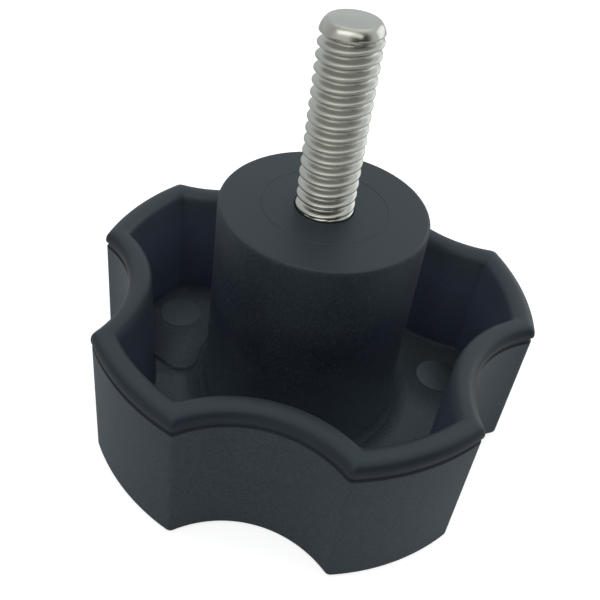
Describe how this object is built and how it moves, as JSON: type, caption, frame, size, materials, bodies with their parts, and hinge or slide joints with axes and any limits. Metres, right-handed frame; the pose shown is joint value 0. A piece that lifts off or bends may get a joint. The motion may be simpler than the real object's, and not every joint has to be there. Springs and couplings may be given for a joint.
{
  "type": "threaded knob",
  "caption": "Lobed clamping knob: a hollow plastic moulding with a tall round boss that holds a threaded steel stud.",
  "frame": {"origin": "centre of the flat head face, on the axis of the stud", "axes": "+Z along the stud, from the head face towards the tip; +Y through the middle of one lobe"},
  "size_m": [0.0502, 0.0488, 0.0485],
  "materials": {
    "black_plastic": "moulded, fine spark-eroded grain on the walls",
    "stainless_steel": "bright rolled thread"
  },
  "bodies": {
    "root": {"knob_body": "black_plastic", "threaded_stud": "stainless_steel"}
  },
  "joints": []
}
